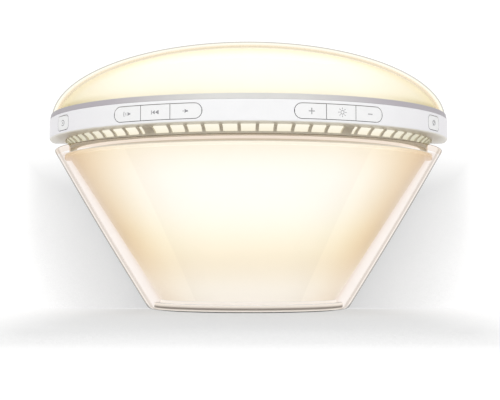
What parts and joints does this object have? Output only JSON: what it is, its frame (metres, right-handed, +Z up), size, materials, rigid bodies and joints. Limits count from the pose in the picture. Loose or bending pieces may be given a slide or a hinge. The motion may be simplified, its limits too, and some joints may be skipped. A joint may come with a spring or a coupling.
{
  "type": "sunrise alarm clock",
  "caption": "Half-round bedside sunrise light and alarm with a clear flared shell over a lit frosted cone, a ring of press keys, a low lit dome and a flat back.",
  "frame": {"origin": "on the table, under the middle of the body's width and depth, at the foot pad's lower face", "axes": "+X to the right as seen from the front, +Y to the flat back, +Z up"},
  "size_m": [0.272, 0.139, 0.18],
  "materials": {
    "clear_shell": "clear polished acrylic",
    "clear_dome": "clear acrylic, faintly milky",
    "frosted_cone": "frosted polycarbonate diffuser, lit warm",
    "frosted_dome": "frosted polycarbonate diffuser, lit warm",
    "grille_plastic": "fine satin moulding",
    "ring_plastic": "fine satin moulding",
    "key_plastic": "fine satin moulding with pale grey printed signs",
    "grey_silicone": "soft satin silicone",
    "inner_white_plastic": "plain moulding",
    "cover_plastic": "finely textured moulding",
    "weight_steel": "plain pressed steel",
    "foot_rubber": "matt silicone rubber",
    "reflector_film": "bright white diffuse film",
    "white_board": "white solder mask",
    "emitter_resin": "phosphor resin",
    "sink_aluminium": "extruded, bare",
    "green_board": "green solder mask",
    "chip_epoxy": "moulded epoxy",
    "capacitor_can": "sleeved aluminium can",
    "shield_can": "tinned steel",
    "header_nylon": "natural nylon",
    "black_plastic": "plain moulding",
    "pin_metal": "nickel plated",
    "magnet_steel": "zinc plated",
    "paper_cone": "pressed paper pulp",
    "black_rubber": "soft rubber",
    "black_foam": "closed-cell foam",
    "amber_film": "polyimide film",
    "red_insulation": "soft PVC",
    "black_insulation": "soft PVC",
    "screw_steel": "zinc plated"
  },
  "bodies": {
    "housing": {"outer_shell": "clear_shell", "lower_diffuser": "frosted_cone", "vent_grille": "grille_plastic", "grille_strip": "frosted_cone", "control_ring": "ring_plastic", "dome_gasket": "grey_silicone", "dome_cover": "clear_dome", "dome_diffuser": "frosted_dome", "chassis": "inner_white_plastic", "rear_cover": "cover_plastic", "base_plate": "cover_plastic", "ballast_weight": "weight_steel", "foot_pad": "foot_rubber", "reflector": "reflector_film", "led_board": "white_board", "led_emitters": "emitter_resin", "heat_sink": "sink_aluminium", "top_led_board": "white_board", "top_led_emitters": "emitter_resin", "main_board": "green_board", "board_chips": "chip_epoxy", "board_capacitors": "capacitor_can", "radio_module": "shield_can", "wire_headers": "header_nylon", "dc_jack": "black_plastic", "dc_jack_pin": "pin_metal", "speaker_basket": "black_plastic", "speaker_magnet": "magnet_steel", "speaker_cone": "paper_cone", "speaker_surround": "black_rubber", "speaker_gasket": "black_foam", "switch_carrier": "inner_white_plastic", "key_flex": "amber_film", "switch_bodies": "black_plastic", "key_ribbon": "amber_film", "led_leads": "red_insulation", "top_led_leads": "red_insulation", "speaker_leads": "black_insulation", "cover_screws": "screw_steel", "ring_screws": "screw_steel", "board_screws": "screw_steel", "speaker_screws": "screw_steel", "base_screws": "screw_steel"},
    "volume_down_key": {"volume_down_key": "key_plastic", "volume_down_plunger": "black_plastic"},
    "sound_key": {"sound_key": "key_plastic", "sound_plunger": "black_plastic"},
    "volume_up_key": {"volume_up_key": "key_plastic", "volume_up_plunger": "black_plastic"},
    "brighter_key": {"brighter_key": "key_plastic", "brighter_plunger": "black_plastic"},
    "light_key": {"light_key": "key_plastic", "light_plunger": "black_plastic"},
    "dimmer_key": {"dimmer_key": "key_plastic", "dimmer_plunger": "black_plastic"},
    "routine_key": {"routine_key": "key_plastic", "routine_plunger": "black_plastic"},
    "snooze_key": {"snooze_key": "key_plastic", "snooze_plunger": "black_plastic"}
  },
  "joints": [
    {"name": "volume_down_press", "type": "slide", "parent": "housing", "child": "volume_down_key", "axis": [0.2698, 0.9629, 0], "range_m": [0, 0.0006], "stiffness_N_per_m": 1500},
    {"name": "sound_press", "type": "slide", "parent": "housing", "child": "sound_key", "axis": [0.4059, 0.9139, 0], "range_m": [0, 0.0006], "stiffness_N_per_m": 1500},
    {"name": "volume_up_press", "type": "slide", "parent": "housing", "child": "volume_up_key", "axis": [0.5336, 0.8457, 0], "range_m": [0, 0.0006], "stiffness_N_per_m": 1500},
    {"name": "brighter_press", "type": "slide", "parent": "housing", "child": "brighter_key", "axis": [-0.2698, 0.9629, 0], "range_m": [0, 0.0006], "stiffness_N_per_m": 1500},
    {"name": "light_press", "type": "slide", "parent": "housing", "child": "light_key", "axis": [-0.4059, 0.9139, 0], "range_m": [0, 0.0006], "stiffness_N_per_m": 1500},
    {"name": "dimmer_press", "type": "slide", "parent": "housing", "child": "dimmer_key", "axis": [-0.5336, 0.8457, 0], "range_m": [0, 0.0006], "stiffness_N_per_m": 1500},
    {"name": "routine_press", "type": "slide", "parent": "housing", "child": "routine_key", "axis": [0.8712, 0.4909, 0], "range_m": [0, 0.0006], "stiffness_N_per_m": 1500},
    {"name": "snooze_press", "type": "slide", "parent": "housing", "child": "snooze_key", "axis": [-0.8712, 0.4909, 0], "range_m": [0, 0.0006], "stiffness_N_per_m": 1500}
  ]
}
